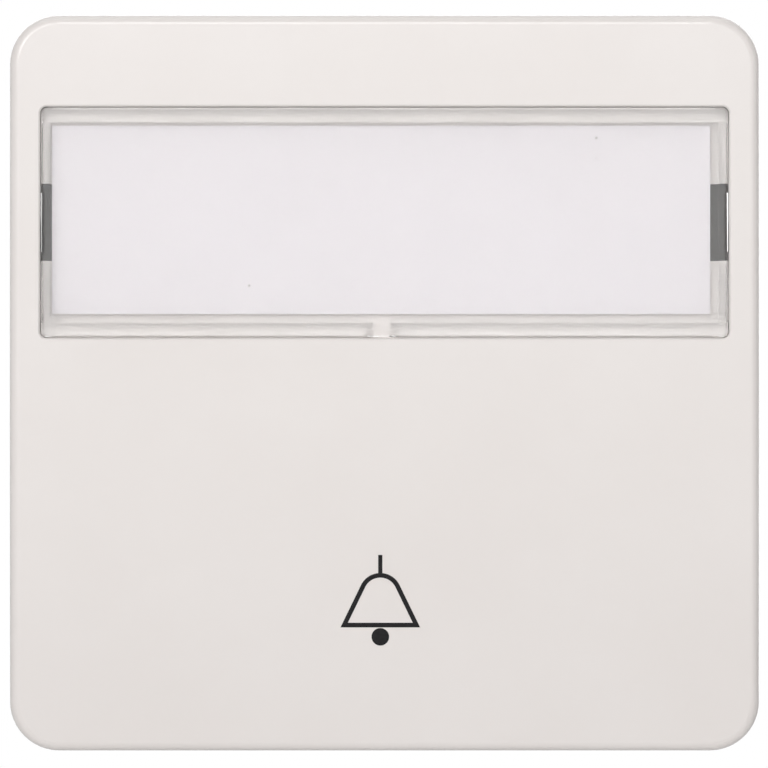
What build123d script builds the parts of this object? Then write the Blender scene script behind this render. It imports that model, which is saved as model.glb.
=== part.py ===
from build123d import *
from math import pi, radians, sin
import os

# A flush-mounted bell pushbutton: a tilting rocker with a label field on a sprung insert.
# X runs to the right, Y into the wall and Z up. The wall plane is Y = 0, at the rear of the
# support plate, and the origin is the centre of the plate. All sizes are millimetres.

# Rocker
rocker_width = 70.0
rocker_height = 68.7
rocker_depth = 8.4
rocker_corner = 4.6
rocker_edge = 0.85
rocker_wall = 1.8
face_thickness = 2.0
crown_radius = 500.0
tilt_angle = 5.0
skirt_clearance = 0.6
seat_rib = 1.2
seat_rib_inset = 1.5

# Label window, its pocket in the rocker and the card under it
window_side_margin = 2.95
window_top_margin = 8.65
window_height = 21.4
window_corner = 0.5
window_edge = 0.12
window_sink = 0.1
window_gap = 0.12
window_plate = 1.1
window_end_rim = 0.8
window_long_rim = 1.3
pocket_depth = 3.4
pocket_edge = 0.15
well_floor = 1.2
well_wall = 1.2
hook_length = 5.5
hook_reach = 1.2
hook_lip = 0.45
hook_slot_width = 1.85
hook_slot_length = 7.2
notch_radius = 1.5
notch_depth = 1.6
notch_offset = 0.3
card_thickness = 0.8
card_gap_left = 0.15
card_gap_right = 0.8
card_gap_top = 0.35
card_gap_bottom = 0.85

# Cradle that carries the rocker, with its trunnions
cradle_thickness = 2.6
cradle_corner = 2.0
cradle_end = 3.0
cradle_web = 1.1
cradle_window_height = 7.5
cradle_bar = 7.0
barrel_radius = 2.2
trunnion_radius = 1.5
nose_radius = 1.6
nose_width = 8.0
leg_thickness = 1.4
leg_length = 5.0
leg_lip = 0.5
leg_lip_height = 0.9
leg_inset = 4.0
leg_upper_z = 11.0
leg_lower_z = 13.0

# Housing of the insert
base_width = 40.0
base_height = 45.0
base_depth = 22.0
base_corner = 8.0
base_rear_edge = 1.2
base_wall = 1.6
cover_thickness = 2.0
cover_edge = 0.5
ear_inset = 0.4
ear_thickness = 2.3
ear_radius = 2.8
stop_pad = 3.0
stop_pad_x = 7.0
cover_post = 3.0
tongue_width = 9.0
tongue_thickness = 1.4
tongue_length = 6.5
tongue_lip = 1.1
tongue_lip_height = 1.6
lug_radius = 3.0
lug_thickness = 1.6

# Plunger, bridge, contacts and return spring
plunger_inset = 7.5
plunger_radius = 2.5
plunger_flange_radius = 4.0
plunger_flange = 1.5
plunger_stop_gap = 0.2
stem_radius = 2.0
bridge_length = 20.0
bridge_width = 6.0
bridge_thickness = 0.8
contact_size = 3.2
contact_height = 0.7
closed_gap = 0.04
spring_radius = 2.9
spring_wire = 0.6
spring_length = 10.0
spring_turns = 3.5
spring_wire_sides = 4
spring_post = 8.0
spigot_radius = 2.2
spigot_height = 1.5

# Terminals
terminal_x = 7.5
bar_width = 11.0
bar_thickness = 0.8
bar_bend = 1.0
bar_end = 3.0
bar_neck_width = 6.0
bar_neck_z = 6.0
bar_leg_z = 4.4
bar_leg_length = 13.5
partition_z = 4.0
rib_thickness = 1.6
cheek_thickness = 1.2
chamber_height = 8.8
clamp_thickness = 0.4
clamp_width = 9.6
clamp_back = 9.9
clamp_front_inset = 3.2
clamp_bend = 1.3
clamp_tip_gap = 0.4
wire_entry = 3.2
wire_funnel = 0.5
wire_spacing = 5.5
lever_width = 9.0
lever_thickness = 2.4
lever_bridge = 1.0
lever_travel = 1.6
lever_shoulder = 0.7
lever_shoulder_length = 2.0
lever_edge = 0.4

# Support plate and its rivets
box_spacing = 60.0
slot_radius = 1.75
slot_length = 4.5
slot_margin = 1.45
plate_thickness = 1.0
plate_corner = 5.0
clip_window_length = 9.0
clip_window_width = 2.6
clip_window_inset_x = 4.5
clip_window_inset_z = 14.0
rivet_radius = 1.5
rivet_head_radius = 2.3
rivet_head_height = 0.6
rivet_x = 8.0
rivet_reach = 2.6

# Spreading claws
claw_screw_radius = 1.5
claw_screw_length = 20.0
claw_head_radius = 2.75
claw_head_height = 2.0
claw_drive_slot = 0.8
claw_drive_depth = 1.1
nut_width = 6.8
nut_thickness = 2.5
nut_front = 15.0
nut_wall_gap = 0.6
claw_thickness = 1.2
claw_width = 10.0
claw_arm = 9.4
claw_tooth = 2.0
claw_bend = 0.9
claw_draw = 4.0
claw_swing = 20.0
claw_slot_inner = 2.5
claw_slot_outer = 1.7
claw_notch = 1.6
ramp_thickness = 1.5
ramp_spacing = 8.0
ramp_gap = 0.45

# Clearances
running_gap = 0.3
bearing_clearance = 0.05
slide_clearance = 0.05
guide_gap = 0.2
touch_gap = 0.05

# Places along Y, from the pressed skirt back to the housing floor
skirt_y = -(plate_thickness + skirt_clearance + rocker_height / 2 * sin(radians(tilt_angle)))
front_y = skirt_y - rocker_depth
pocket_floor_y = front_y + pocket_depth
well_rear_y = pocket_floor_y + well_floor
cradle_rear_y = well_rear_y + cradle_thickness
pivot_y = well_rear_y + ear_radius + running_gap
cover_front_y = pivot_y + barrel_radius + running_gap
rim_y = cover_front_y + cover_thickness
floor_y = base_depth - base_wall

# The plunger's travel follows the tilt through the nose's arm
nose_arm = base_height / 2 - plunger_inset
plunger_travel = nose_arm * radians(tilt_angle)
nose_rear_y = cover_front_y - plunger_travel - running_gap
plunger_front_y = nose_rear_y + touch_gap
flange_front_y = rim_y + plunger_stop_gap
bridge_front_y = flange_front_y + plunger_flange
bridge_rear_y = bridge_front_y + bridge_thickness
contact_gap = plunger_travel + closed_gap
bar_front_y = bridge_rear_y + 2 * contact_height + contact_gap
bar_rear_y = bar_front_y + bar_thickness
spring_seat_y = bridge_rear_y + spring_length
spigot_front_y = spring_seat_y - spigot_height
stem_end_y = spigot_front_y - plunger_travel - running_gap

# Label field
window_width = rocker_width - 2 * window_side_margin
window_z = rocker_height / 2 - window_top_margin - window_height / 2
pocket_width = window_width + 2 * window_gap
pocket_height = window_height + 2 * window_gap
field_width = window_width - 2 * window_end_rim
field_height = window_height - 2 * window_long_rim

# Cradle
cradle_width = base_width - 2 * (ear_inset + ear_thickness + running_gap)
cradle_height = 2 * (nose_arm + cradle_end)
leg_x = cradle_width / 2 - leg_inset
leg_tip_y = cradle_rear_y - guide_gap
cradle_window_width = 2 * (leg_x - leg_thickness / 2 - guide_gap - cradle_web)

# Housing
inner_width = base_width - 2 * base_wall
inner_height = base_height - 2 * base_wall
rivet_z = base_height / 2 + rivet_reach
rivet_places = ((rivet_x, rivet_z), (-rivet_x, -rivet_z))
tongue_outer_z = inner_height / 2 - guide_gap
tongue_tip_y = rim_y + tongue_length

# Terminal chamber
bar_leg_top = bar_leg_z + bar_thickness / 2
bar_leg_end_y = bar_front_y + bar_leg_length
shelf_z = bar_leg_top + chamber_height
clamp_z = shelf_z - clamp_thickness / 2
clamp_front_y = bar_rear_y + clamp_front_inset
clamp_corner_y = clamp_front_y + clamp_back
clamp_tip_z = bar_leg_top + clamp_tip_gap
clamp_tip_y = clamp_corner_y - (clamp_z - clamp_tip_z)
wire_z = bar_leg_top + wire_entry / 2
lever_bottom_z = bar_leg_top + wire_entry + lever_bridge + guide_gap
lever_top_z = lever_bottom_z + lever_thickness
cheek_x = terminal_x + bar_width / 2 + running_gap + cheek_thickness / 2

# Plate
plate_width = box_spacing + slot_length + 2 * slot_margin
opening_width = base_width + 2 * guide_gap
opening_height = base_height + 2 * guide_gap

# Claws
claw_x = base_width / 2 + nut_wall_gap + nut_width / 2
claw_outer_x = claw_x + nut_width / 2
claw_bend_y = nut_front - claw_arm


def at_depth(y):
    """The sketch plane at depth y, where a positive extrusion comes forward."""
    return Plane.XZ.offset(-y)


def crowned(width, height, corner, rear_y, drop, centre_z=0.0):
    """A block with a rounded outline whose front lies drop behind the crown of the face."""
    with BuildPart() as block:
        with BuildSketch(at_depth(rear_y)):
            with Locations((0, centre_z)):
                RectangleRounded(width, height, corner)
        extrude(amount=rear_y - front_y)
        with Locations(Location((0, front_y + crown_radius, 0), (0, 90, 0))):
            Cylinder(crown_radius - drop, 2 * width, mode=Mode.INTERSECT)
    return block.part


def hook_outline(inner_x, side, root_y, tip_y, thickness, lip, lip_height):
    """Corners of a barbed hook that reaches back from root_y to tip_y, as seen along it."""
    outer_x = inner_x + side * thickness
    barb_y = tip_y - lip_height
    return (
        (inner_x, root_y),
        (outer_x, root_y),
        (outer_x, barb_y),
        (outer_x + side * lip, barb_y),
        (outer_x, tip_y),
        (inner_x, tip_y),
    )


def turned(steps, x, z):
    """A round piece about a line along Y, from (y, radius) steps in order of depth."""
    outline = [(steps[0][0], 0.0)]
    for y, radius in steps:
        outline.append((y, radius))
    outline.append((steps[-1][0], 0.0))
    with BuildPart() as piece:
        with BuildSketch(Plane(origin=(x, 0, z), x_dir=(0, 1, 0), z_dir=(1, 0, 0))):
            with BuildLine():
                Polyline(*outline, close=True)
            make_face()
        revolve(axis=Axis((x, 0, z), (0, 1, 0)))
    return piece.part


def save(piece, name):
    """Labels a finished piece and writes it as its own file."""
    piece.label = name
    export_step(piece, f"parts/{name}.step")


os.makedirs("parts", exist_ok=True)
sides = ((-1, "left"), (1, "right"))

# The rocker is one moulding: a crowned cap with a well for the label field
rocker_block = crowned(rocker_width, rocker_height, rocker_corner, skirt_y, 0.0)
rocker_hollow = crowned(
    rocker_width - 2 * rocker_wall,
    rocker_height - 2 * rocker_wall,
    rocker_corner - rocker_wall,
    skirt_y,
    face_thickness,
)
label_well = crowned(
    pocket_width + 2 * well_wall,
    pocket_height + 2 * well_wall,
    window_corner + well_wall,
    well_rear_y,
    face_thickness / 2,
    window_z,
)
with BuildPart() as rocker:
    add(rocker_block)
    fillet(rocker.faces().sort_by(Axis.Y)[0].edges(), rocker_edge)
    add(rocker_hollow, mode=Mode.SUBTRACT)
    add(label_well)
    with BuildSketch(at_depth(pocket_floor_y)):
        with Locations((0, window_z)):
            RectangleRounded(pocket_width, pocket_height, window_corner + window_gap)
    extrude(amount=pocket_depth, mode=Mode.SUBTRACT)
    chamfer(rocker.faces().sort_by(Axis.Y)[0].inner_wires()[0].edges(), pocket_edge)
    slot_x = (pocket_width - hook_slot_width) / 2
    with BuildSketch(at_depth(well_rear_y)):
        with Locations((-slot_x, window_z), (slot_x, window_z)):
            Rectangle(hook_slot_width, hook_slot_length)
    extrude(amount=well_floor, mode=Mode.SUBTRACT)
    face_root_y = front_y + face_thickness / 2
    with BuildSketch(at_depth(well_rear_y)):
        with Locations((0, -seat_rib_inset), (0, seat_rib_inset - cradle_height / 2)):
            Rectangle(cradle_width, seat_rib)
    extrude(amount=well_rear_y - face_root_y)
    leg_roots = ((leg_upper_z, well_rear_y - well_floor / 2), (-leg_lower_z, face_root_y))
    for side, _ in sides:
        for leg_z, root_y in leg_roots:
            leg_inner_x = side * (leg_x - leg_thickness / 2)
            leg = hook_outline(
                leg_inner_x, side, root_y, leg_tip_y, leg_thickness, leg_lip, leg_lip_height
            )
            with BuildSketch(Plane.XY.offset(leg_z - leg_length / 2)):
                with BuildLine():
                    Polyline(*leg, close=True)
                make_face()
            extrude(amount=leg_length)
save(rocker.part, "rocker")

# The clear lid lies flush in the pocket, on a rim all round, and is held by two end hooks
window_block = crowned(
    window_width,
    window_height,
    window_corner,
    pocket_floor_y - touch_gap,
    window_sink,
    window_z,
)
window_hollow = crowned(
    field_width,
    field_height,
    window_corner / 2,
    pocket_floor_y,
    window_sink + window_plate,
    window_z,
)
with BuildPart() as label_window:
    add(window_block)
    chamfer(label_window.faces().sort_by(Axis.Y)[0].edges(), window_edge)
    add(window_hollow, mode=Mode.SUBTRACT)
    with BuildSketch(at_depth(pocket_floor_y)):
        with Locations((-notch_offset, window_z - window_height / 2)):
            Circle(notch_radius)
    extrude(amount=notch_depth, mode=Mode.SUBTRACT)
    for side, _ in sides:
        hook = hook_outline(
            side * field_width / 2,
            side,
            pocket_floor_y - window_plate / 2,
            well_rear_y + hook_reach,
            window_end_rim,
            hook_lip,
            hook_reach - touch_gap,
        )
        with BuildSketch(Plane.XY.offset(window_z - hook_length / 2)):
            with BuildLine():
                Polyline(*hook, close=True)
            make_face()
        extrude(amount=hook_length)
save(label_window.part, "label_window")

# The card lies on the pocket's floor, pushed to the top left of the field
card_width = field_width - card_gap_left - card_gap_right
card_height = field_height - card_gap_top - card_gap_bottom
with BuildPart() as label_card:
    with BuildSketch(at_depth(pocket_floor_y)):
        card_x = (card_gap_left - card_gap_right) / 2
        with Locations((card_x, window_z + (card_gap_bottom - card_gap_top) / 2)):
            Rectangle(card_width, card_height)
    extrude(amount=card_thickness)
save(label_card.part, "label_card")

# The cradle is a ribbed frame with a barrel, two trunnions and the nose over the plunger
with BuildPart() as rocker_cradle:
    with BuildSketch(at_depth(cradle_rear_y)):
        RectangleRounded(cradle_width, cradle_height, cradle_corner)
        window_offset = (cradle_bar + cradle_window_height) / 2
        with Locations((0, window_offset), (0, -window_offset)):
            Rectangle(cradle_window_width, cradle_window_height, mode=Mode.SUBTRACT)
    extrude(amount=cradle_thickness)
    with Locations(Location((0, pivot_y, 0), (0, 90, 0))):
        Cylinder(barrel_radius, cradle_width)
        Cylinder(trunnion_radius, cradle_width + 2 * (running_gap + ear_thickness))
    with Locations(Location((0, nose_rear_y - nose_radius, -nose_arm), (0, 90, 0))):
        Cylinder(nose_radius, nose_width)
    leg_pocket_depth = guide_gap + leg_lip_height + touch_gap
    for side, _ in sides:
        for leg_z in (leg_upper_z, -leg_lower_z):
            with BuildSketch(at_depth(cradle_rear_y)):
                with Locations((side * leg_x, leg_z)):
                    Rectangle(leg_thickness + 2 * guide_gap, leg_length + 2 * guide_gap)
            extrude(amount=cradle_thickness, mode=Mode.SUBTRACT)
            with BuildSketch(at_depth(cradle_rear_y)):
                with Locations((side * (leg_x + leg_lip / 2), leg_z)):
                    Rectangle(leg_thickness + leg_lip + 2 * guide_gap, leg_length + 2 * guide_gap)
            extrude(amount=leg_pocket_depth, mode=Mode.SUBTRACT)
save(rocker_cradle.part, "rocker_cradle")

# The cover snaps into the housing with two tongues and carries the cradle between two ears
with BuildPart() as housing_cover:
    with BuildSketch(at_depth(rim_y)):
        RectangleRounded(base_width, base_height, base_corner)
    extrude(amount=cover_thickness)
    chamfer(housing_cover.faces().sort_by(Axis.Y)[0].edges(), cover_edge)
    ear_x = cradle_width / 2 + running_gap
    for side, _ in sides:
        with BuildSketch(Plane.YZ.offset(side * (ear_x + ear_thickness / 2))):
            with Locations((pivot_y, 0)):
                Circle(ear_radius)
            with Locations(((pivot_y + rim_y) / 2, 0)):
                Rectangle(rim_y - pivot_y, 2 * ear_radius)
            with Locations((pivot_y, 0)):
                Circle(trunnion_radius + bearing_clearance, mode=Mode.SUBTRACT)
        extrude(amount=ear_thickness / 2, both=True)
    with BuildSketch(at_depth(cover_front_y)):
        with Locations((-stop_pad_x, nose_arm), (stop_pad_x, nose_arm)):
            Rectangle(stop_pad, stop_pad)
    extrude(amount=cover_front_y - cradle_rear_y)
    with BuildSketch(at_depth(bar_front_y)):
        with Locations((-terminal_x, -partition_z), (terminal_x, -partition_z)):
            Rectangle(cover_post, cover_post)
    extrude(amount=bar_front_y - rim_y)
    with BuildSketch(at_depth(rim_y)):
        with Locations((0, -nose_arm)):
            Circle(plunger_radius + slide_clearance)
    extrude(amount=cover_thickness, mode=Mode.SUBTRACT)
    for side, _ in sides:
        tongue = hook_outline(
            side * (tongue_outer_z - tongue_thickness),
            side,
            rim_y - cover_thickness / 2,
            tongue_tip_y,
            tongue_thickness,
            tongue_lip,
            tongue_lip_height,
        )
        with BuildSketch(Plane((tongue_width / 2, 0, 0), x_dir=(0, 0, 1), z_dir=(-1, 0, 0))):
            with BuildLine():
                Polyline(*tongue, close=True)
            make_face()
        extrude(amount=tongue_width)
save(housing_cover.part, "housing_cover")

# The ramps that spread the claws follow the line of the claw's bend as it is drawn forward
bend_rest = Vector(claw_outer_x - claw_thickness, claw_bend_y)
bend_arm = bend_rest - Vector(claw_outer_x, nut_front)
bend_drawn = Vector(claw_outer_x, nut_front - claw_draw) + bend_arm.rotate(Axis.Z, claw_swing)
ramp_line = (bend_drawn - bend_rest).normalized()
ramp_shift = Vector(ramp_line.Y, -ramp_line.X) * ramp_gap
ramp_rear = bend_rest + ramp_shift
ramp_front = bend_drawn + ramp_shift
ramp_root_x = (base_width - base_wall) / 2
ramp_outline = (
    (ramp_root_x, 0.0),
    (ramp_front.X, 0.0),
    (ramp_front.X, ramp_front.Y),
    (ramp_rear.X, ramp_rear.Y),
    (ramp_root_x, ramp_rear.Y),
)

# Upright ribs on the floor of the base, each by its place, width, height and front
chamber_front_y = bar_rear_y + bar_bend
chamber_mid_z = (shelf_z - partition_z) / 2
chamber_span = shelf_z + partition_z
leg_rib_z = bar_leg_z - (bar_thickness + rib_thickness) / 2
floor_ribs = [
    (0, -partition_z, inner_width, rib_thickness, bar_rear_y),
    (0, leg_rib_z, 2 * cheek_x, rib_thickness, chamber_front_y),
    (0, shelf_z + rib_thickness / 2, inner_width, rib_thickness, chamber_front_y),
    (0, chamber_mid_z, rib_thickness, chamber_span, bar_front_y),
]
for side, _ in sides:
    floor_ribs.append((side * cheek_x, chamber_mid_z, cheek_thickness, chamber_span, chamber_front_y))
    floor_ribs.append((side * terminal_x, -nose_arm, cover_post, cover_post, bar_rear_y))

# The base is a deep moulded box with lugs behind the plate, ribs and two terminal chambers
with BuildPart() as housing_base:
    with BuildSketch(at_depth(base_depth)):
        RectangleRounded(base_width, base_height, base_corner)
    extrude(amount=base_depth - rim_y)
    chamfer(housing_base.faces().sort_by(Axis.Y)[-1].edges(), base_rear_edge)
    with BuildSketch(at_depth(lug_thickness)):
        for x, z in rivet_places:
            with Locations((x, z)):
                Circle(lug_radius)
            with Locations((x, z / 2)):
                Rectangle(2 * lug_radius, rivet_z)
            with Locations((x, z)):
                Circle(rivet_radius + bearing_clearance, mode=Mode.SUBTRACT)
    extrude(amount=lug_thickness)
    for side, _ in sides:
        for ramp_z in (-ramp_spacing / 2, ramp_spacing / 2):
            with BuildSketch(Plane.XY.offset(ramp_z - ramp_thickness / 2)):
                with BuildLine():
                    Polyline(*[(side * x, y) for x, y in ramp_outline], close=True)
                make_face()
            extrude(amount=ramp_thickness)
    with BuildSketch(at_depth(floor_y)):
        RectangleRounded(inner_width, inner_height, base_corner - base_wall)
    extrude(amount=floor_y - rim_y, mode=Mode.SUBTRACT)
    # Post and spigot for the return spring
    with BuildSketch(at_depth(floor_y)):
        with Locations((0, -nose_arm)):
            Rectangle(spring_post, spring_post)
    extrude(amount=floor_y - spring_seat_y)
    with BuildSketch(at_depth(spring_seat_y)):
        with Locations((0, -nose_arm)):
            Circle(spigot_radius)
    extrude(amount=spigot_height)
    # Walls of the terminal chambers and a pillar behind each fixed contact
    for x, z, width, height, rib_front_y in floor_ribs:
        with BuildSketch(at_depth(floor_y)):
            with Locations((x, z)):
                Rectangle(width, height)
        extrude(amount=floor_y - rib_front_y)
    # Windows for the cover's tongues, wire entries with their funnels, and the lever openings
    tongue_window_front = tongue_tip_y - tongue_lip_height - touch_gap
    tongue_window_depth = tongue_lip_height + touch_gap + guide_gap
    for side, _ in sides:
        with BuildSketch(Plane.XY.offset(side * (base_height - base_wall) / 2)):
            with Locations((0, tongue_window_front + tongue_window_depth / 2)):
                Rectangle(tongue_width + 2 * guide_gap, tongue_window_depth)
        extrude(amount=base_wall / 2, both=True, mode=Mode.SUBTRACT)
    lever_mid_z = (lever_bottom_z + lever_top_z) / 2
    for side, _ in sides:
        with BuildSketch(at_depth(base_depth)):
            with Locations((side * terminal_x, wire_z)):
                with GridLocations(wire_spacing, 0, 2, 1):
                    Rectangle(wire_entry, wire_entry)
            with Locations((side * terminal_x, lever_mid_z)):
                Rectangle(lever_width + 2 * guide_gap, lever_thickness + 2 * guide_gap)
        extrude(amount=base_wall, mode=Mode.SUBTRACT)
        with BuildSketch(at_depth(base_depth)):
            with Locations((side * terminal_x, wire_z)):
                with GridLocations(wire_spacing, 0, 2, 1):
                    Rectangle(wire_entry + 2 * wire_funnel, wire_entry + 2 * wire_funnel)
        extrude(amount=wire_funnel, taper=45, mode=Mode.SUBTRACT)
save(housing_base.part, "housing_base")

# The support plate is a stamped steel frame with slots for box screws and windows for clips
with BuildPart() as support_plate:
    with BuildSketch(at_depth(0)):
        RectangleRounded(plate_width, plate_width, plate_corner)
        RectangleRounded(opening_width, opening_height, base_corner + guide_gap, mode=Mode.SUBTRACT)
        with GridLocations(box_spacing, 0, 2, 1):
            SlotOverall(slot_length, 2 * slot_radius, mode=Mode.SUBTRACT)
        with GridLocations(0, box_spacing, 1, 2):
            SlotOverall(slot_length, 2 * slot_radius, rotation=90, mode=Mode.SUBTRACT)
        with GridLocations(2 * claw_x, 0, 2, 1):
            Circle(claw_screw_radius + guide_gap, mode=Mode.SUBTRACT)
        with Locations(*rivet_places):
            Circle(rivet_radius + bearing_clearance, mode=Mode.SUBTRACT)
        clip_pitch_x = plate_width - 2 * clip_window_inset_x
        clip_pitch_z = plate_width - 2 * clip_window_inset_z
        with GridLocations(clip_pitch_x, clip_pitch_z, 2, 2):
            Rectangle(clip_window_width, clip_window_length, mode=Mode.SUBTRACT)
    extrude(amount=plate_thickness)
save(support_plate.part, "support_plate")

# Rivets hold the plate to the lugs
plate_rivets = []
for x, z in rivet_places:
    rivet = turned(
        (
            (-plate_thickness - rivet_head_height, rivet_head_radius),
            (-plate_thickness, rivet_head_radius),
            (-plate_thickness, rivet_radius),
            (lug_thickness, rivet_radius),
            (lug_thickness, rivet_head_radius),
            (lug_thickness + rivet_head_height, rivet_head_radius),
        ),
        x,
        z,
    )
    plate_rivets.append(rivet)
save(Compound(children=plate_rivets), "plate_rivets")

# The plunger is turned: a head under the nose, a stop flange and a stem through the bridge
plunger = turned(
    (
        (plunger_front_y, plunger_radius),
        (flange_front_y, plunger_radius),
        (flange_front_y, plunger_flange_radius),
        (bridge_front_y, plunger_flange_radius),
        (bridge_front_y, stem_radius),
        (stem_end_y, stem_radius),
    ),
    0,
    -nose_arm,
)
save(plunger, "plunger")

# The bridge lies on the flange, with a silver contact tip welded on at each end
with BuildPart() as contact_bridge:
    with BuildSketch(at_depth(bridge_rear_y)):
        with Locations((0, -nose_arm)):
            Rectangle(bridge_length, bridge_width)
            Circle(stem_radius + slide_clearance, mode=Mode.SUBTRACT)
    extrude(amount=bridge_thickness)
save(contact_bridge.part, "contact_bridge")

for side, name in sides:
    with BuildPart() as bridge_contact:
        with BuildSketch(at_depth(bridge_rear_y + contact_height)):
            with Locations((side * terminal_x, -nose_arm)):
                Rectangle(contact_size, contact_size)
        extrude(amount=contact_height)
    save(bridge_contact.part, f"bridge_contact_{name}")
    with BuildPart() as fixed_contact:
        with BuildSketch(at_depth(bar_front_y)):
            with Locations((side * terminal_x, -nose_arm)):
                Rectangle(contact_size, contact_size)
        extrude(amount=contact_height)
    save(fixed_contact.part, f"fixed_contact_{name}")

# The return spring stands on its post round the spigot and presses the bridge forward
coil_length = spring_length - spring_wire - 2 * touch_gap
coil_start = Vector(0, bridge_rear_y + touch_gap + spring_wire / 2, -nose_arm)
with BuildPart() as return_spring:
    with BuildLine() as coil:
        Helix(coil_length / spring_turns, coil_length, spring_radius, coil_start, (0, 1, 0))
    with BuildSketch(Plane(coil.line @ 0, z_dir=coil.line % 0)):
        RegularPolygon(spring_wire / 2, spring_wire_sides)
    sweep(path=coil.line, is_frenet=True)
save(return_spring.part, "return_spring")

# Each terminal: a bent bar, a leaf spring that clamps two wires, and a release lever
clamp_corner = (clamp_corner_y, clamp_z)
lever_offset = (clamp_thickness / 2 + running_gap) / sin(pi / 4)
for side, name in sides:
    bar_x = side * terminal_x
    with BuildPart() as terminal_bar:
        bar_mid_y = (bar_front_y + bar_rear_y) / 2
        with BuildSketch(Plane.YZ.offset(bar_x)):
            with BuildLine():
                FilletPolyline(
                    (bar_mid_y, -nose_arm - bar_end),
                    (bar_mid_y, bar_leg_z),
                    (bar_leg_end_y, bar_leg_z),
                    radius=bar_bend,
                )
            trace(line_width=bar_thickness)
        extrude(amount=bar_width / 2, both=True)
        neck_height = nose_arm + 2 * bar_end - bar_neck_z
        with BuildSketch(at_depth(bar_rear_y)):
            with Locations((bar_x, -bar_neck_z - neck_height / 2)):
                Rectangle(2 * bar_width, neck_height)
                Rectangle(bar_neck_width, neck_height, mode=Mode.SUBTRACT)
        extrude(amount=bar_thickness, mode=Mode.SUBTRACT)
    save(terminal_bar.part, f"terminal_bar_{name}")

    with BuildPart() as clamp_spring:
        with BuildSketch(Plane.YZ.offset(bar_x)):
            with BuildLine():
                FilletPolyline(
                    (clamp_front_y, clamp_z),
                    clamp_corner,
                    (clamp_tip_y, clamp_tip_z),
                    radius=clamp_bend,
                )
            trace(line_width=clamp_thickness)
        extrude(amount=clamp_width / 2, both=True)
    save(clamp_spring.part, f"clamp_spring_{name}")

    lever_end_y = base_depth + lever_travel
    tip_y = clamp_corner_y - clamp_z + lever_offset
    with BuildPart() as release_lever:
        with BuildSketch(Plane.YZ.offset(bar_x)):
            with BuildLine():
                Polyline(
                    (tip_y + lever_bottom_z, lever_bottom_z),
                    (tip_y + lever_top_z, lever_top_z),
                    (lever_end_y, lever_top_z),
                    (lever_end_y, lever_bottom_z),
                    close=True,
                )
            make_face()
        extrude(amount=lever_width / 2, both=True)
        fillet(release_lever.faces().sort_by(Axis.Y)[-1].edges(), lever_edge)
        with BuildSketch(at_depth(floor_y - guide_gap)):
            with Locations((bar_x, lever_mid_z)):
                Rectangle(lever_width + 2 * lever_shoulder, lever_thickness)
        extrude(amount=lever_shoulder_length)
    save(release_lever.part, f"release_lever_{name}")

# Each claw: a screw in the plate, a square nut on it and a toothed claw that the nut draws
claw_mid_x = claw_outer_x - claw_thickness / 2
foot_mid_y = nut_front - claw_thickness / 2
for side, name in sides:
    screw_blank = turned(
        (
            (-plate_thickness - claw_head_height, claw_head_radius),
            (-plate_thickness, claw_head_radius),
            (-plate_thickness, claw_screw_radius),
            (claw_screw_length - plate_thickness, claw_screw_radius),
        ),
        side * claw_x,
        0,
    )
    with BuildPart() as claw_screw:
        add(screw_blank)
        with BuildSketch(at_depth(claw_drive_depth - claw_head_height - plate_thickness)):
            with Locations((side * claw_x, 0)):
                Rectangle(claw_drive_slot, 2 * claw_head_radius)
        extrude(amount=claw_drive_depth, mode=Mode.SUBTRACT)
    save(claw_screw.part, f"claw_screw_{name}")

    with BuildPart() as claw_nut:
        with BuildSketch(at_depth(nut_front + nut_thickness)):
            with Locations((side * claw_x, 0)):
                Rectangle(nut_width, nut_width)
                Circle(claw_screw_radius + bearing_clearance, mode=Mode.SUBTRACT)
        extrude(amount=nut_thickness)
    save(claw_nut.part, f"claw_nut_{name}")

    with BuildPart() as claw:
        with BuildSketch():
            with BuildLine():
                FilletPolyline(
                    (side * (claw_outer_x - nut_width), foot_mid_y),
                    (side * claw_mid_x, foot_mid_y),
                    (side * claw_mid_x, claw_bend_y),
                    (side * (claw_mid_x + claw_tooth), claw_bend_y - claw_tooth),
                    radius=claw_bend,
                )
            trace(line_width=claw_thickness)
        extrude(amount=claw_width / 2, both=True)
        foot_trim = (claw_width - nut_width) / 2
        with BuildSketch(at_depth(nut_front)):
            with Locations((side * (claw_mid_x - nut_width), 0)):
                with GridLocations(0, nut_width + foot_trim, 1, 2):
                    Rectangle(2 * nut_width - claw_thickness - 2 * claw_bend, foot_trim)
            slot_shift = (claw_slot_outer - claw_slot_inner) / 2
            with Locations((side * (claw_x + slot_shift), 0)):
                SlotOverall(
                    claw_slot_inner + claw_slot_outer, 2 * (claw_screw_radius + guide_gap)
                )
        extrude(amount=2 * claw_thickness, mode=Mode.SUBTRACT)
        with BuildSketch(Plane.YZ.offset(side * (claw_mid_x + claw_tooth / 2))):
            with Locations((claw_bend_y - claw_tooth - claw_thickness / 2, 0)):
                with GridLocations(0, claw_width / 3, 1, 3):
                    RegularPolygon(claw_notch, 4, rotation=0)
        extrude(amount=claw_tooth + claw_thickness, both=True, mode=Mode.SUBTRACT)
    save(claw.part, f"claw_{name}")
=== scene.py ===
from math import acos, atan2, cos, pi, radians, sin, sqrt

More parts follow.
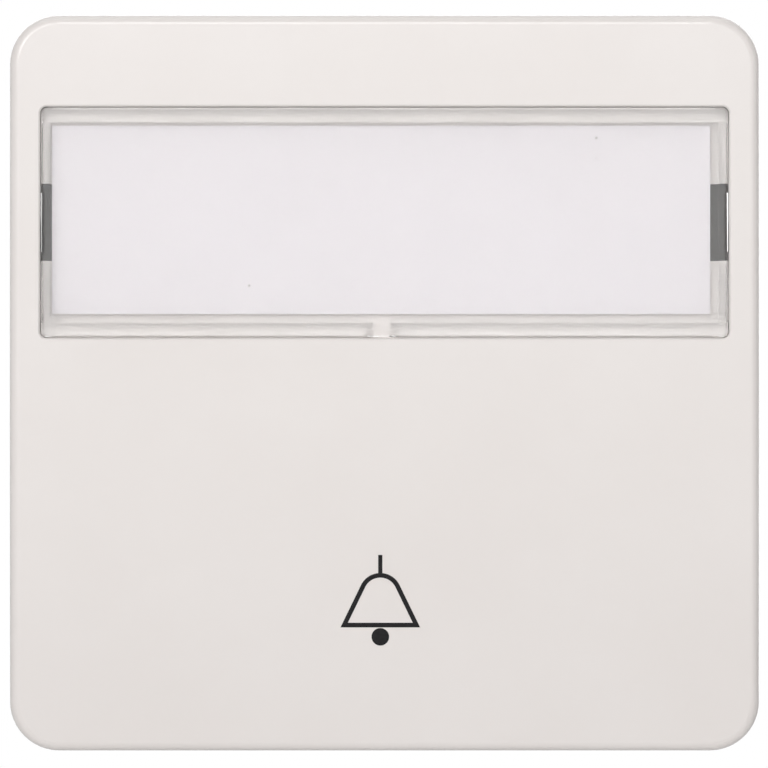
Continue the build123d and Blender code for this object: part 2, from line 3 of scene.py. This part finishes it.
import bmesh
import bpy
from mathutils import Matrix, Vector


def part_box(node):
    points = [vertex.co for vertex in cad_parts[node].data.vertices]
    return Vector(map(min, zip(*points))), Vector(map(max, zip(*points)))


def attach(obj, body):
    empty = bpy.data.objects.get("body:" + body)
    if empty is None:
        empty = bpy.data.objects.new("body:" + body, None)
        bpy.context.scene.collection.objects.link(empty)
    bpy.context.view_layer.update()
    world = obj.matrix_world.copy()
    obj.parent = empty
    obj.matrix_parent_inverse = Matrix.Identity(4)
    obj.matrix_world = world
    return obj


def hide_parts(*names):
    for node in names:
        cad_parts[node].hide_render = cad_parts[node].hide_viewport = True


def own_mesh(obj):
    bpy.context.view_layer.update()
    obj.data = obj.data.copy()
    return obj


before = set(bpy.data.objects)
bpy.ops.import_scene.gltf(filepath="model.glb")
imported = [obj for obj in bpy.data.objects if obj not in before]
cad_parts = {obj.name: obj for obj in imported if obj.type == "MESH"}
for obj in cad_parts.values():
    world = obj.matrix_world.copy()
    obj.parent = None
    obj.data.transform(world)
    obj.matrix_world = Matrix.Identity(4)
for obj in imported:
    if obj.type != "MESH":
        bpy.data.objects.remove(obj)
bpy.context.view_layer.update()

# Housing base: a deep box moulded in black thermoplastic with a fine eroded texture.
# Its ribs make the terminal chambers, its ramps spread the claws, and two lugs take the rivets.

mm = 0.001


def new_finish(name, **sockets):
    """A material with one Principled shader and its constant values on the shader's sockets."""
    material = bpy.data.materials.new(name)
    material.use_nodes = True
    shader = material.node_tree.nodes["Principled BSDF"]
    for socket, value in sockets.items():
        shader.inputs[socket.replace("_", " ")].default_value = value
    return material


def clouds(material, scale, stretch=(1, 1, 1), detail=4.0):
    """Noise in the piece's own place, scale times a metre, drawn out along the axes by stretch."""
    nodes, links = material.node_tree.nodes, material.node_tree.links
    place = nodes.new("ShaderNodeTexCoord")
    mapping = nodes.new("ShaderNodeMapping")
    mapping.inputs["Scale"].default_value = stretch
    noise = nodes.new("ShaderNodeTexNoise")
    noise.inputs["Scale"].default_value = scale
    noise.inputs["Detail"].default_value = detail
    links.new(place.outputs["Object"], mapping.inputs["Vector"])
    links.new(mapping.outputs["Vector"], noise.inputs["Vector"])
    return noise.outputs["Fac"]


def tint(material, source, low, high, span=(0.35, 0.65)):
    """Base colour from low to high over that span of the source."""
    nodes, links = material.node_tree.nodes, material.node_tree.links
    ramp = nodes.new("ShaderNodeValToRGB")
    for stop, place, colour in zip(ramp.color_ramp.elements, span, (low, high)):
        stop.position = place
        stop.color = (*colour, 1)
    links.new(source, ramp.inputs["Fac"])
    links.new(ramp.outputs["Color"], nodes["Principled BSDF"].inputs["Base Color"])


def polish(material, source, low, high):
    """Roughness from low to high with the source."""
    nodes, links = material.node_tree.nodes, material.node_tree.links
    span = nodes.new("ShaderNodeMapRange")
    span.inputs["From Min"].default_value = 0.3
    span.inputs["From Max"].default_value = 0.7
    span.inputs["To Min"].default_value = low
    span.inputs["To Max"].default_value = high
    links.new(source, span.inputs["Value"])
    links.new(span.outputs["Result"], nodes["Principled BSDF"].inputs["Roughness"])


def texture(material, source, depth, strength=0.5):
    """Bump of that depth in metres from the source."""
    nodes, links = material.node_tree.nodes, material.node_tree.links
    bump = nodes.new("ShaderNodeBump")
    bump.inputs["Strength"].default_value = strength
    bump.inputs["Distance"].default_value = depth
    links.new(source, bump.inputs["Height"])
    links.new(bump.outputs["Normal"], nodes["Principled BSDF"].inputs["Normal"])


def dress(material, *nodes):
    """Gives CAD nodes their finish."""
    for node in nodes:
        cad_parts[node].material_slots[0].material = material


black_moulding = new_finish("black_moulding", IOR=1.5)
tint(black_moulding, clouds(black_moulding, 90), (0.028, 0.029, 0.031), (0.046, 0.047, 0.05))
polish(black_moulding, clouds(black_moulding, 700), 0.42, 0.56)
texture(black_moulding, clouds(black_moulding, 7000, detail=2), 0.02 * mm, 0.4)
dress(black_moulding, "housing_base")

# Terminal bars and contact bridge: blanked and bent from rolled brass strip.
# The bars lie on ribs in the base, and the bridge sits on the plunger's flange.

rolled_brass = new_finish("rolled_brass", Metallic=1.0)
tint(rolled_brass, clouds(rolled_brass, 260), (0.6, 0.42, 0.17), (0.76, 0.57, 0.27))
polish(rolled_brass, clouds(rolled_brass, 900, (6, 6, 0.4)), 0.24, 0.4)
texture(rolled_brass, clouds(rolled_brass, 2400, (4, 4, 0.1)), 0.01 * mm, 0.3)
dress(rolled_brass, "terminal_bar_left", "terminal_bar_right", "contact_bridge")

# Contact tips: square pads of silver, cut from strip and welded to the bridge and the bars.
# Switching has left them a little dull and uneven.

contact_silver = new_finish("contact_silver", Metallic=1.0)
tint(contact_silver, clouds(contact_silver, 1500), (0.62, 0.59, 0.53), (0.82, 0.81, 0.78))
polish(contact_silver, clouds(contact_silver, 2600), 0.2, 0.4)
sides = ("left", "right")
for side in sides:
    dress(contact_silver, f"bridge_contact_{side}", f"fixed_contact_{side}")

# Return spring: coiled from bright round spring wire, with a closed turn at each end.
# It stands on its post in the base and is pressed together as the plunger comes in.

spring_steel = new_finish("spring_steel", Metallic=1.0)
tint(spring_steel, clouds(spring_steel, 500), (0.4, 0.4, 0.4), (0.56, 0.56, 0.55))
polish(spring_steel, clouds(spring_steel, 1800, (1, 5, 1)), 0.2, 0.34)

wire_radius = 0.3 * mm
wire_corners = 8
rising_turns = 3.5
closed_turns = 0.75
turn_steps = 24
low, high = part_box("return_spring")
coil_radius = (high.x - low.x) / 2 - wire_radius
coil_z = (low.z + high.z) / 2
rise = high.y - low.y - 2 * wire_radius
rings = []
for step in range(round((rising_turns + 2 * closed_turns) * turn_steps) + 1):
    turn = 2 * pi * step / turn_steps
    climb = min(max((step / turn_steps - closed_turns) / rising_turns, 0), 1)
    ring = []
    for corner in range(wire_corners):
        around = 2 * pi * corner / wire_corners
        reach = coil_radius + wire_radius * cos(around)
        y = low.y + wire_radius + rise * climb + wire_radius * sin(around)
        ring.append((reach * cos(turn), y, coil_z + reach * sin(turn)))
    rings.append(ring)


def skin(mesh, rings, open_end=False):
    """A skin through rings of points, all of the same count, closed at its start and its end."""
    rows = [[mesh.verts.new(point) for point in ring] for ring in rings]
    count = len(rows[0])
    for row, beyond in zip(rows, rows[1:]):
        for corner in range(count):
            after = (corner + 1) % count
            mesh.faces.new((row[corner], row[after], beyond[after], beyond[corner]))
    mesh.faces.new(rows[0])
    if not open_end:
        mesh.faces.new(rows[-1])
    return rows


def finished(name, mesh, material, sharp=30):
    """The object of a mesh, smooth up to the sharp angle in degrees, in its material."""
    bmesh.ops.recalc_face_normals(mesh, faces=mesh.faces)
    for face in mesh.faces:
        face.smooth = True
    data = bpy.data.meshes.new(name)
    mesh.to_mesh(data)
    mesh.free()
    data.set_sharp_from_angle(angle=radians(sharp))
    data.materials.append(material)
    piece = bpy.data.objects.new(name, data)
    bpy.context.collection.objects.link(piece)
    return piece


mesh = bmesh.new()
skin(mesh, rings)
coil = finished("coiled_spring", mesh, spring_steel, 60)
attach(coil, "insert")
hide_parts("return_spring")
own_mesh(coil)

# Clamp springs: bent from bright spring strip, each with an arm that grips two wires.
# They sit under the shelf of the terminal chambers and give way when a lever is pressed.

for side in sides:
    node = f"clamp_spring_{side}"
    clamp = bpy.data.objects.new(f"flexing_clamp_{side}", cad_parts[node].data.copy())
    bpy.context.collection.objects.link(clamp)
    clamp.material_slots[0].material = spring_steel
    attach(clamp, "insert")
    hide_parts(node)
    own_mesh(clamp)

# Release levers: grey keys moulded in glass-filled plastic.
# They slide in openings of the base's rear wall and push the clamps open from behind.

lever_grey = new_finish("lever_grey", IOR=1.5)
tint(lever_grey, clouds(lever_grey, 600), (0.36, 0.36, 0.37), (0.45, 0.45, 0.46))
polish(lever_grey, clouds(lever_grey, 1200), 0.36, 0.5)
texture(lever_grey, clouds(lever_grey, 5000, detail=2), 0.01 * mm, 0.3)
dress(lever_grey, "release_lever_left", "release_lever_right")

# Plunger: turned from natural white acetal, a little translucent, with fine turning marks.
# It slides in the cover, and its stem goes through the bridge and the return spring.

white_acetal = new_finish(
    "white_acetal",
    IOR=1.48,
    Subsurface_Weight=0.2,
    Subsurface_Radius=(0.8 * mm, 0.8 * mm, 0.7 * mm),
)
tint(white_acetal, clouds(white_acetal, 300), (0.76, 0.74, 0.68), (0.84, 0.82, 0.77))
polish(white_acetal, clouds(white_acetal, 1500, (1, 6, 1)), 0.28, 0.4)
dress(white_acetal, "plunger")

# Housing cover and rocker cradle: light grey mouldings with a matt texture.
# The cover snaps into the base, and the cradle's trunnions turn in the cover's ears.

grey_moulding = new_finish("grey_moulding", IOR=1.5)
tint(grey_moulding, clouds(grey_moulding, 120), (0.49, 0.49, 0.485), (0.57, 0.57, 0.565))
polish(grey_moulding, clouds(grey_moulding, 800), 0.4, 0.54)
texture(grey_moulding, clouds(grey_moulding, 6000, detail=2), 0.015 * mm, 0.35)
dress(grey_moulding, "housing_cover", "rocker_cradle")

# Support plate: stamped from sheet steel and phosphated, a dull, dark brown grey.
# It lies on the wall. Through the latch slots of the label field, its very dark colour is partly the
# phosphate's own and partly painted shade of the cavity under the rocker.

dark_phosphate_and_painted_shade = new_finish("dark_phosphate_and_painted_shade", Metallic=0.7, IOR=1.5)
# Painted shade: this base colour is set dark so that the latch slots in front of the plate look shaded.
tint(dark_phosphate_and_painted_shade, clouds(dark_phosphate_and_painted_shade, 260), (0.056, 0.047, 0.039), (0.068, 0.057, 0.047))
polish(dark_phosphate_and_painted_shade, clouds(dark_phosphate_and_painted_shade, 900), 0.42, 0.6)
texture(dark_phosphate_and_painted_shade, clouds(dark_phosphate_and_painted_shade, 5000, detail=2), 0.008 * mm, 0.25)
dress(dark_phosphate_and_painted_shade, "support_plate")

# Rivets, claws and nuts: steel with bright zinc plating, headed, stamped and blanked.
# The rivets hold the plate to the base's lugs; each claw hooks over its square nut.

zinc_plate = new_finish("zinc_plate", Metallic=1.0)
tint(zinc_plate, clouds(zinc_plate, 160), (0.53, 0.545, 0.56), (0.68, 0.685, 0.685))
polish(zinc_plate, clouds(zinc_plate, 500, (1, 1, 5)), 0.28, 0.46)
texture(zinc_plate, clouds(zinc_plate, 3000, (0.3, 1, 3)), 0.008 * mm, 0.25)
dress(zinc_plate, "plate_rivets")
for side in sides:
    dress(zinc_plate, f"claw_{side}", f"claw_nut_{side}")

# Claw screws: steel screws with slotted cheese heads, rolled threads and bright zinc plating.
# They turn in the plate, and their threads draw the nuts and claws forward.

shank_radius = 1.5 * mm
thread_pitch = 0.5 * mm
thread_depth = 0.3 * mm
head_radius = 2.75 * mm
head_height = 2.0 * mm
head_edge = 0.25 * mm
drive_slot = 0.8 * mm
drive_depth = 1.1 * mm
half_corners = 12
rings_to_a_pitch = 6


def slot_turns(radius):
    """Angles round a screw's axis in two runs, which leave out the drive slot's width at that radius."""
    reach = acos(drive_slot / 2 / radius)
    steps = [reach * (2 * corner / (half_corners - 1) - 1) for corner in range(half_corners)]
    return [facing + step for facing in (0, pi) for step in steps]


def head_ring(centre_x, y, radius):
    """One ring of a screw's head at depth y."""
    return [(centre_x + radius * cos(turn), y, radius * sin(turn)) for turn in slot_turns(radius)]


def thread_ring(centre_x, y, tip_y):
    """One ring of the shank, where the right-hand thread's ridge goes round once in each pitch."""
    points = []
    for turn in slot_turns(head_radius):
        ridge = abs(2 * ((y / thread_pitch + turn / (2 * pi)) % 1) - 1)
        radius = shank_radius - thread_depth * ridge
        radius = min(radius, shank_radius - max(0, y - tip_y + thread_depth))
        points.append((centre_x + radius * cos(turn), y, radius * sin(turn)))
    return points


for side in sides:
    node = f"claw_screw_{side}"
    low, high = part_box(node)
    centre_x = (low.x + high.x) / 2
    shank_length = high.y - low.y - head_height
    rows = round(rings_to_a_pitch * shank_length / thread_pitch)
    depths = [high.y - shank_length * row / rows for row in range(rows + 1)]
    rings = [thread_ring(centre_x, y, high.y) for y in depths]
    rings.append(head_ring(centre_x, low.y + head_height, head_radius))
    rings.append(head_ring(centre_x, low.y + drive_depth, head_radius))
    mesh = bmesh.new()
    rim = skin(mesh, rings, open_end=True)[-1]
    mesh.faces.new((rim[half_corners - 1], rim[half_corners], rim[-1], rim[0]))
    for half in (slice(0, half_corners), slice(half_corners, None)):
        foot = rim[half]
        edge = [mesh.verts.new(point) for point in head_ring(centre_x, low.y + head_edge, head_radius)[half]]
        top = [mesh.verts.new(point) for point in head_ring(centre_x, low.y, head_radius - head_edge)[half]]
        for lower, upper in ((foot, edge), (edge, top)):
            for step in range(half_corners - 1):
                mesh.faces.new((lower[step], lower[step + 1], upper[step + 1], upper[step]))
        mesh.faces.new(top)
        mesh.faces.new((foot[0], foot[-1], edge[-1], top[-1], top[0], edge[0]))
    screw = finished(f"threaded_screw_{side}", mesh, zinc_plate)
    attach(screw, node)
    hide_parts(node)

# Rocker: one white moulding with a crowned, satin face and rounded edges.
# It snaps onto the cradle with four legs, and its well holds the label field.

white_moulding = new_finish("white_moulding", IOR=1.5)
tint(white_moulding, clouds(white_moulding, 60), (0.843, 0.794, 0.767), (0.859, 0.813, 0.788))
polish(white_moulding, clouds(white_moulding, 900), 0.2, 0.25)
texture(white_moulding, clouds(white_moulding, 5200, detail=2), 0.004 * mm, 0.25)
dress(white_moulding, "rocker")

# Bell sign: black ink, pad-printed on the rocker's face below the label field.
# The outline of the bell, its stem and its clapper are three separate marks.

face_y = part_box("rocker")[0].y
crown_radius = 500 * mm
bell_x = -0.392 * mm
bell_dome_z = -19.74 * mm
bell_dome_radius = 2.0 * mm
bell_half_width = 3.72 * mm
bell_base_z = -22.82 * mm
bell_stroke = 0.43 * mm
stem_width = 0.39 * mm
stem_top_z = -16.05 * mm
clapper_z = -23.7 * mm
clapper_radius = 0.82 * mm
clapper_corners = 48
dome_steps = 32
ink_height = 0.02 * mm


def bell_edge(inset):
    """Points of the bell's outline from the left foot over the dome to the right foot."""
    radius = bell_dome_radius - inset
    foot_z = bell_base_z + inset
    rise = bell_dome_z - bell_base_z
    slope = acos(bell_dome_radius / sqrt(bell_half_width**2 + rise**2)) - atan2(rise, bell_half_width)
    foot_x = (radius - sin(slope) * (foot_z - bell_dome_z)) / cos(slope)
    points = [(-foot_x, foot_z)]
    for step in range(dome_steps + 1):
        turn = pi - slope - (pi - 2 * slope) * step / dome_steps
        points.append((radius * cos(turn), bell_dome_z + radius * sin(turn)))
    points.append((foot_x, foot_z))
    return points


def ink_print(name, patches):
    """Prints a thin layer of ink on the crowned face, from patches of (x, z) corners."""
    mesh = bmesh.new()
    for patch in patches:
        mesh.faces.new([mesh.verts.new((x, 0, z)) for x, z in patch])
    bmesh.ops.remove_doubles(mesh, verts=mesh.verts, dist=0.001 * mm)
    bmesh.ops.recalc_face_normals(mesh, faces=mesh.faces)
    front = bmesh.ops.extrude_face_region(mesh, geom=mesh.faces[:])
    for item in front["geom"]:
        if isinstance(item, bmesh.types.BMVert):
            item.co.y -= 2 * ink_height
    for vert in mesh.verts:
        vert.co.y += face_y + ink_height + crown_radius - sqrt(crown_radius**2 - vert.co.z**2)
    piece = finished(name, mesh, black_ink)
    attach(piece, "rocker")


black_ink = new_finish("black_ink", IOR=1.3)
tint(black_ink, clouds(black_ink, 2500), (0.003, 0.0025, 0.003), (0.007, 0.006, 0.007))
polish(black_ink, clouds(black_ink, 4000), 0.5, 0.7)

outer_edge = [(bell_x + x, z) for x, z in bell_edge(0.0)]
inner_edge = [(bell_x + x, z) for x, z in bell_edge(bell_stroke)]
patches = []
for step in range(len(outer_edge)):
    after = (step + 1) % len(outer_edge)
    patches.append((outer_edge[step], outer_edge[after], inner_edge[after], inner_edge[step]))
ink_print("bell_sign", patches)
dome_top = bell_dome_z + bell_dome_radius
stem = [(bell_x + x, z) for x, z in (
    (-stem_width / 2, dome_top - bell_stroke / 2),
    (stem_width / 2, dome_top - bell_stroke / 2),
    (stem_width / 2, stem_top_z),
    (-stem_width / 2, stem_top_z),
)]
ink_print("bell_stem", [stem])
clapper = []
for step in range(clapper_corners):
    turn = 2 * pi * step / clapper_corners
    clapper.append((bell_x + clapper_radius * cos(turn), clapper_z + clapper_radius * sin(turn)))
ink_print("bell_clapper", [clapper])

# Label card: a blank slip of stiff white card, cut to length with a knife.
# It lies loose in the pocket, pushed to the left, and has caught three specks of dust.

white_paper = new_finish("white_paper", IOR=1.4)
tint(white_paper, clouds(white_paper, 1400), (0.817, 0.78, 0.812), (0.835, 0.798, 0.83))
polish(white_paper, clouds(white_paper, 3000), 0.8, 0.95)
texture(white_paper, clouds(white_paper, 3500, (1, 1, 0.4)), 0.01 * mm, 0.3)
dress(white_paper, "label_card")

grey_dust = new_finish("grey_dust", IOR=1.4)
tint(grey_dust, clouds(grey_dust, 6000), (0.5, 0.47, 0.47), (0.6, 0.57, 0.57))
polish(grey_dust, clouds(grey_dust, 6000), 0.85, 0.95)
speck_height = 0.02 * mm
speck_corners = 12
card_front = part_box("label_card")[0].y
mesh = bmesh.new()
for x, z, radius in (
    (19.8 * mm, 22.9 * mm, 0.13 * mm),
    (19.8 * mm, 21.0 * mm, 0.09 * mm),
    (-12.65 * mm, 9.1 * mm, 0.12 * mm),
):
    rings = []
    for y in (card_front + speck_height, card_front - speck_height):
        turns = [2 * pi * step / speck_corners for step in range(speck_corners)]
        rings.append([(x + radius * cos(turn), y, z + radius * sin(turn)) for turn in turns])
    skin(mesh, rings)
specks = finished("dust_specks", mesh, grey_dust)
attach(specks, "rocker")

# Label window: a clear lid, moulded with a polished face and a rim all round.
# It lies flush in the rocker's pocket, snapped in by a hook at each end.

clear_moulding = new_finish("clear_moulding", IOR=1.49, Transmission_Weight=1.0)
tint(clear_moulding, clouds(clear_moulding, 60), (0.996, 0.992, 0.987), (1.0, 0.997, 0.993))
polish(clear_moulding, clouds(clear_moulding, 400), 0.0, 0.03)
dress(clear_moulding, "label_window")

# Studio: a pale floor below the part and a white surround.
# Soft boxes stand left above the camera, in front, behind and overhead.


def seen_rays(tree):
    """1 where a surface is seen, straight or in gloss or glass, and 0 where it only gives light."""
    path = tree.nodes.new("ShaderNodeLightPath")
    seen = path.outputs["Is Camera Ray"]
    for kind in ("Is Glossy Ray", "Is Transmission Ray"):
        either = tree.nodes.new("ShaderNodeMath")
        either.operation = "MAXIMUM"
        tree.links.new(seen, either.inputs[0])
        tree.links.new(path.outputs[kind], either.inputs[1])
        seen = either.outputs["Value"]
    return seen


floor_reach = 1.2
floor_z = -0.075
pale_floor = new_finish("pale_floor", Roughness=0.9, Emission_Color=(1, 1, 1, 1))
tint(pale_floor, clouds(pale_floor, 8), (0.86, 0.86, 0.86), (0.9, 0.9, 0.9))
nodes, links = pale_floor.node_tree.nodes, pale_floor.node_tree.links
glow = nodes.new("ShaderNodeMapRange")
glow.inputs["To Max"].default_value = 0.2
links.new(seen_rays(pale_floor.node_tree), glow.inputs["Value"])
links.new(glow.outputs["Result"], nodes["Principled BSDF"].inputs["Emission Strength"])
mesh = bmesh.new()
bmesh.ops.create_grid(mesh, x_segments=1, y_segments=1, size=floor_reach)
floor = finished("floor", mesh, pale_floor)
floor.location.z = floor_z

world = bpy.data.worlds.new("studio")
world.use_nodes = True
bpy.context.scene.world = world
nodes, links = world.node_tree.nodes, world.node_tree.links
surround = nodes["Background"]
surround.inputs["Color"].default_value = (1, 1, 1, 1)
place = nodes.new("ShaderNodeTexCoord")
split = nodes.new("ShaderNodeSeparateXYZ")
ceiling = nodes.new("ShaderNodeMapRange")
ceiling.inputs["From Min"].default_value = -1.0
ceiling.inputs["To Min"].default_value = 0.08
ceiling.inputs["To Max"].default_value = 0.14
level = nodes.new("ShaderNodeMapRange")
level.inputs["To Max"].default_value = 1.0
links.new(place.outputs["Generated"], split.inputs["Vector"])
links.new(split.outputs["Z"], ceiling.inputs["Value"])
links.new(ceiling.outputs["Result"], level.inputs["To Min"])
links.new(seen_rays(world.node_tree), level.inputs["Value"])
links.new(level.outputs["Result"], surround.inputs["Strength"])


def softbox(name, place, width, height, power):
    """A rectangular lamp at place that faces the part."""
    lamp = bpy.data.lights.new(name, "AREA")
    lamp.shape = "RECTANGLE"
    lamp.size = width
    lamp.size_y = height
    lamp.energy = power
    stand = bpy.data.objects.new(name, lamp)
    stand.location = place
    stand.rotation_euler = (-Vector(place)).to_track_quat("-Z", "Y").to_euler()
    bpy.context.collection.objects.link(stand)


softbox("key_light", (-0.25, -1.0, 0.42), 0.8, 0.28, 4.6)
softbox("front_fill", (0, -1.5, 0), 1.8, 1.8, 12.9)
softbox("rear_fill", (0.3, 1.5, 0.3), 1.8, 1.8, 14.0)
softbox("top_fill", (0, 0.1, 1.4), 1.2, 1.2, 4.0)

# Camera: straight in front of the face, with a long lens.
# The picture is as wide as the photo's, at 10.714 of its pixels to a millimetre.

camera_distance = 1.2
sensor_width = 36.0
pixel = mm / 10.714
view_width = 768 * pixel
lens = bpy.data.cameras.new("camera")
lens.sensor_width = sensor_width
lens.lens = sensor_width * camera_distance / view_width
camera = bpy.data.objects.new("camera", lens)
camera.location = (-0.5 * pixel, face_y - camera_distance, -1.0 * pixel)
camera.rotation_euler = (radians(90), 0, 0)
bpy.context.collection.objects.link(camera)
bpy.context.scene.camera = camera
bpy.context.scene.view_settings.view_transform = "Standard"
